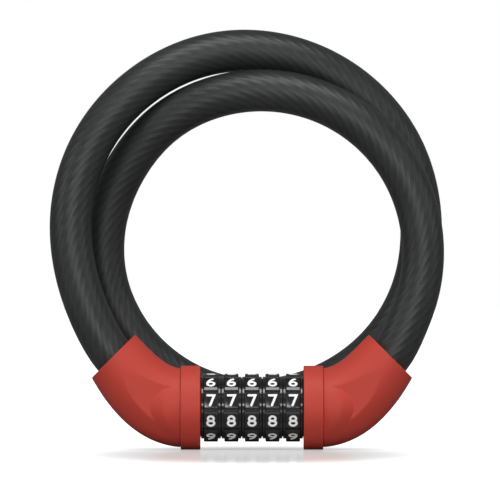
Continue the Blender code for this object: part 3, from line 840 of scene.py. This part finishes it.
def ring_tree(name):
    """Geometry Nodes: copies of a collection's parts around the X axis, in their name's order."""
    tree = bpy.data.node_groups.new(name, "GeometryNodeTree")
    face = tree.interface
    for label, sort in (("Base", "Geometry"), ("Parts", "Collection"), ("Count", "Int"),
                        ("Radius", "Float"), ("First Angle", "Float"), ("Centre", "Vector"),
                        ("Material", "Material")):
        face.new_socket(label, in_out="INPUT", socket_type=f"NodeSocket{sort}")
    face.new_socket("Geometry", in_out="OUTPUT", socket_type="NodeSocketGeometry")

    def node(kind, options=None, inputs=None):
        made = tree.nodes.new(kind)
        for key, value in (options or {}).items():
            setattr(made, key, value)
        for key, value in (inputs or {}).items():
            if hasattr(value, "is_output"):
                tree.links.new(value, made.inputs[key])
            else:
                made.inputs[key].default_value = value
        return made

    given = node("NodeGroupInput").outputs
    points = node("GeometryNodePoints", None, {"Count": given["Count"]})
    index = node("GeometryNodeInputIndex").outputs[0]
    step = node("ShaderNodeMath", {"operation": "DIVIDE"}, {0: 2 * math.pi, 1: given["Count"]})
    turned_by = node("ShaderNodeMath", {"operation": "MULTIPLY"}, {0: index, 1: step.outputs[0]})
    angle = node("ShaderNodeMath", {"operation": "ADD"},
                 {0: turned_by.outputs[0], 1: given["First Angle"]}).outputs[0]
    arm = node("ShaderNodeCombineXYZ", None, {"Z": given["Radius"]})
    swung = node("ShaderNodeVectorRotate", {"rotation_type": "X_AXIS"},
                 {"Vector": arm.outputs[0], "Angle": angle})
    place = node("ShaderNodeVectorMath", {"operation": "ADD"},
                 {0: swung.outputs[0], 1: given["Centre"]})
    placed = node("GeometryNodeSetPosition", None,
                  {"Geometry": points.outputs[0], "Position": place.outputs[0]})
    parts = node("GeometryNodeCollectionInfo", None,
                 {"Collection": given["Parts"], "Separate Children": True, "Reset Children": True})
    turn = node("ShaderNodeCombineXYZ", None, {"X": angle})
    copies = node("GeometryNodeInstanceOnPoints", None, {
        "Points": placed.outputs[0], "Instance": parts.outputs[0], "Pick Instance": True,
        "Instance Index": index, "Rotation": turn.outputs[0]})
    solid = node("GeometryNodeRealizeInstances", None, {"Geometry": copies.outputs[0]})
    joined = node("GeometryNodeJoinGeometry")
    tree.links.new(solid.outputs[0], joined.inputs[0])
    tree.links.new(given["Base"], joined.inputs[0])
    done = node("GeometryNodeSetMaterial", None,
                {"Geometry": joined.outputs[0], "Material": given["Material"]})
    tree.links.new(done.outputs[0], node("NodeGroupOutput").inputs[0])
    return tree


def grown_mesh(item, tree, name, **values):
    """Runs the tree on an object once and returns the result as a plain object."""
    change = item.modifiers.new("Grow", "NODES")
    change.node_group = tree
    for socket in tree.interface.items_tree:
        key = socket.name.replace(" ", "_").lower()
        if socket.in_out == "INPUT" and key in values:
            change[socket.identifier] = values[key]
    graph = bpy.context.evaluated_depsgraph_get()
    graph.update()
    mesh = bpy.data.meshes.new_from_object(item.evaluated_get(graph))
    mesh.name = name
    bpy.data.objects.remove(item, do_unlink=True)
    made = bpy.data.objects.new(name, mesh)
    bpy.context.scene.collection.objects.link(made)
    return made


def hidden_collection(name, items):
    """Takes items out of the scene into a collection that only instances read."""
    made = bpy.data.collections.new(name)
    for item in items:
        for home in list(item.users_collection):
            home.objects.unlink(item)
        made.objects.link(item)
    return made


def dial_drum(centre):
    """A dial's plain drum: a little lower under the tiles, with rounded rims."""
    look = settings("dials")
    half, rim, bore = DIAL_WIDTH / 2, look.rim_radius, DRUM_BORE
    inner, seat = look.tile_width / 2 + TILE_SEAT_PLAY, rim - TILE_SEAT_DEPTH
    low, high, reach, play = LIP_LOW, LIP_HIGH, LIP_REACH, LIP_PLAY
    corners = [(-half, bore), (-half, low - play), (-half + reach, low - play),
               (-half + reach, high + play), (-half, high + play), (-half, rim),
               (-inner, rim), (-inner, seat), (inner, seat), (inner, rim),
               (half, rim), (half, high), (half + reach, high), (half + reach, low),
               (half, low), (half, bore)]
    profile = rounded_profile(corners, DRUM_ROUND, 3)
    return turned("drum", [(centre + x, r) for x, r in profile], None)


class OBJECT_OT_cable_lock_dials(bpy.types.Operator):
    """Makes the dials, each with ten tiles and the digits 0 to 9"""
    bl_idname = "object.cable_lock_dials"
    bl_label = "Dials"

    def execute(self, context):
        look = settings("dials")
        tree = ring_tree("Parts Around The Axis")
        tiles = hidden_collection("tile_parts", [tile_mesh(look)])
        digits = hidden_collection("digit_parts", [digit_mesh(d, look) for d in range(DIGITS)])
        step = 2 * math.pi / DIGITS
        first = math.pi / 2 - look.front_angle - look.front_digit * step
        for number, node in enumerate(DIAL_NODES, 1):
            low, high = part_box(node)
            centre = (low[0] + high[0]) / 2
            shared = {"count": DIGITS, "radius": look.face_radius, "first_angle": first,
                      "centre": (centre, 0.0, AXIS_HEIGHT)}
            wheel = grown_mesh(dial_drum(centre), tree, f"wheel_{number}_body", parts=tiles,
                               material=material("black_plastic"), **shared)
            blank = bpy.data.objects.new("blank", bpy.data.meshes.new("blank"))
            context.scene.collection.objects.link(blank)
            marks = grown_mesh(blank, tree, f"wheel_{number}_digits", parts=digits,
                               material=material("white_ink"), **shared)
            for item in (wheel, marks):
                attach(item, f"wheel_{number}")
            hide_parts(node)
        for parts in (tiles, digits):
            for item in list(parts.objects):
                bpy.data.objects.remove(item, do_unlink=True)
            bpy.data.collections.remove(parts)
        return {"FINISHED"}


# --- lock works and stage -----------------------------------------------------------------

class OBJECT_OT_cable_lock_works(bpy.types.Operator):
    """Gives the metal pieces inside the lock their finishes"""
    bl_idname = "object.cable_lock_works"
    bl_label = "Lock works"

    def execute(self, context):
        for name, item in frame["nodes"].items():
            if name.startswith("code_ring"):
                finish = "brass"
            elif name.endswith("_core") and name != "cable_core":
                finish = "zinc"
            elif name.startswith(("spacer", "slotted", "bolt", "click", "retaining")) or \
                    name.endswith(("_ferrule", "_anchor_pin")):
                finish = "steel"
            else:
                continue
            item.data.materials.clear()
            item.data.materials.append(material(finish))
        return {"FINISHED"}


def area_lamp(name, place, target, size, energy):
    lamp = bpy.data.lights.new(name, "AREA")
    lamp.shape = "RECTANGLE"
    lamp.size, lamp.size_y = size
    lamp.energy = energy
    item = bpy.data.objects.new(name, lamp)
    item.location = place
    item.rotation_euler = (Vector(target) - Vector(place)).to_track_quat("-Z", "Y").to_euler()
    bpy.context.scene.collection.objects.link(item)
    return item


class OBJECT_OT_cable_lock_stage(bpy.types.Operator):
    """Sets up the floor, the soft lamps, the white surroundings and the camera"""
    bl_idname = "object.cable_lock_stage"
    bl_label = "Stage"

    def execute(self, context):
        scene = context.scene
        camera = bpy.data.cameras.new("camera")
        camera.lens = camera.sensor_width * VIEW_DISTANCE / VIEW_WIDTH
        camera.clip_end = 50.0
        item = bpy.data.objects.new("camera", camera)
        item.location = VIEW_MIDDLE + Vector((0, -VIEW_DISTANCE, 0))
        item.rotation_euler = (math.pi / 2, 0, 0)
        scene.collection.objects.link(item)
        scene.camera = item
        scene.view_settings.view_transform = "Standard"

        mesh = bpy.data.meshes.new("floor")
        mesh.from_pydata([(x * FLOOR_REACH, y * FLOOR_REACH, 0)
                          for x, y in ((-1, -1), (1, -1), (1, 1), (-1, 1))], [], [(0, 1, 2, 3)])
        floor = bpy.data.objects.new("floor", mesh)
        scene.collection.objects.link(floor)
        mesh.materials.append(self.floor_material())
        self.surroundings(scene)
        for name, place, target_height, size, energy, reflected in LAMPS:
            lamp = area_lamp(name, place, (0, 0, target_height), size, energy)
            lamp.visible_glossy = reflected
        return {"FINISHED"}

    @staticmethod
    def floor_material():
        """A pale satin floor with a painted pool of shade in front of the lock, where its glow is
        weaker. The real shadow and a faint reflection show within it. To the camera it goes over into
        plain white farther away."""
        shade = Shade("white_floor")
        ray = shade.signal(shade.node("ShaderNodeLightPath"), "Is Camera Ray")
        cast = shade.mix(ray, FLOOR_TONE_LIT, FLOOR_TONE_SEEN)
        parts = shade.node("ShaderNodeSeparateXYZ", None,
                           {"Vector": shade.coordinates((PAINTED_SHADE_NARROWING, 1, 1))})
        x, y = shade.signal(parts, 0), shade.signal(parts, 1) + PAINTED_SHADE_FORWARD
        # Less glow near the lock: painted shade on the floor in front of it
        painted_shade_glow = shade.node("ShaderNodeMapRange", {"interpolation_type": "SMOOTHSTEP"}, {
            "Value": x * x + y * y, "From Min": PAINTED_SHADE_NEAR ** 2, "From Max": PAINTED_SHADE_FAR ** 2,
            "To Min": PAINTED_SHADE_GLOW, "To Max": 1.0})
        glow = shade.mix(ray * shade.signal(painted_shade_glow, 0), (0.0, 0.0, 0.0), (1.0, 1.0, 1.0))
        return shade.finish(base_color=cast, roughness=0.12, emission_color=glow,
                            emission_strength=1.0)

    @staticmethod
    def surroundings(scene):
        """White where the camera sees them, and a soft grey light on everything else."""
        world = bpy.data.worlds.new("surroundings")
        world.use_nodes = True
        scene.world = world
        tree = world.node_tree
        back = tree.nodes["Background"]
        path = tree.nodes.new("ShaderNodeLightPath")
        seen = tree.nodes.new("ShaderNodeMath")
        seen.operation = "MAXIMUM"
        tree.links.new(path.outputs["Is Camera Ray"], seen.inputs[0])
        tree.links.new(path.outputs["Is Transmission Ray"], seen.inputs[1])
        level = tree.nodes.new("ShaderNodeMix")
        level.data_type = "FLOAT"
        level.inputs["A"].default_value = SURROUNDINGS_LIGHT
        level.inputs["B"].default_value = 1.0
        tree.links.new(seen.outputs[0], level.inputs["Factor"])
        tree.links.new(level.outputs[0], back.inputs["Strength"])
        back.inputs["Color"].default_value = (1, 1, 1, 1)


class VIEW3D_PT_cable_lock(bpy.types.Panel):
    """Lists the lock's pieces, the settings behind them and the stage"""
    bl_label = "Cable Lock"
    bl_idname = "VIEW3D_PT_cable_lock"
    bl_space_type = "VIEW_3D"
    bl_region_type = "UI"
    bl_category = "Cable Lock"

    def draw(self, context):
        for kind in SETTINGS:
            box = self.layout.box()
            group = settings(kind)
            box.label(text=kind.title())
            for key in type(group).__annotations__:
                box.prop(group, key)
        for operator in OPERATORS:
            self.layout.operator(operator.bl_idname)


SETTINGS = {
    "dials": CableLockDialSettings,
    "housing": CableLockHousingSettings,
    "cable": CableLockCableSettings,
    "finish": CableLockFinishSettings,
}
OPERATORS = (
    OBJECT_OT_cable_lock_stage,
    OBJECT_OT_cable_lock_cable,
    OBJECT_OT_cable_lock_housings,
    OBJECT_OT_cable_lock_collars,
    OBJECT_OT_cable_lock_dials,
    OBJECT_OT_cable_lock_works,
)


def register():
    for kind, group in SETTINGS.items():
        bpy.utils.register_class(group)
        setattr(bpy.types.Scene, f"cable_lock_{kind}", bpy.props.PointerProperty(type=group))
    for operator in OPERATORS:
        bpy.utils.register_class(operator)
    bpy.utils.register_class(VIEW3D_PT_cable_lock)


def unregister():
    bpy.utils.unregister_class(VIEW3D_PT_cable_lock)
    for operator in reversed(OPERATORS):
        bpy.utils.unregister_class(operator)
    for kind, group in SETTINGS.items():
        delattr(bpy.types.Scene, f"cable_lock_{kind}")
        bpy.utils.unregister_class(group)


def main():
    register()
    for operator in OPERATORS:
        group, name = operator.bl_idname.split(".")
        getattr(getattr(bpy.ops, group), name)()
    bpy.context.view_layer.update()


if __name__ == "__main__":
    main()
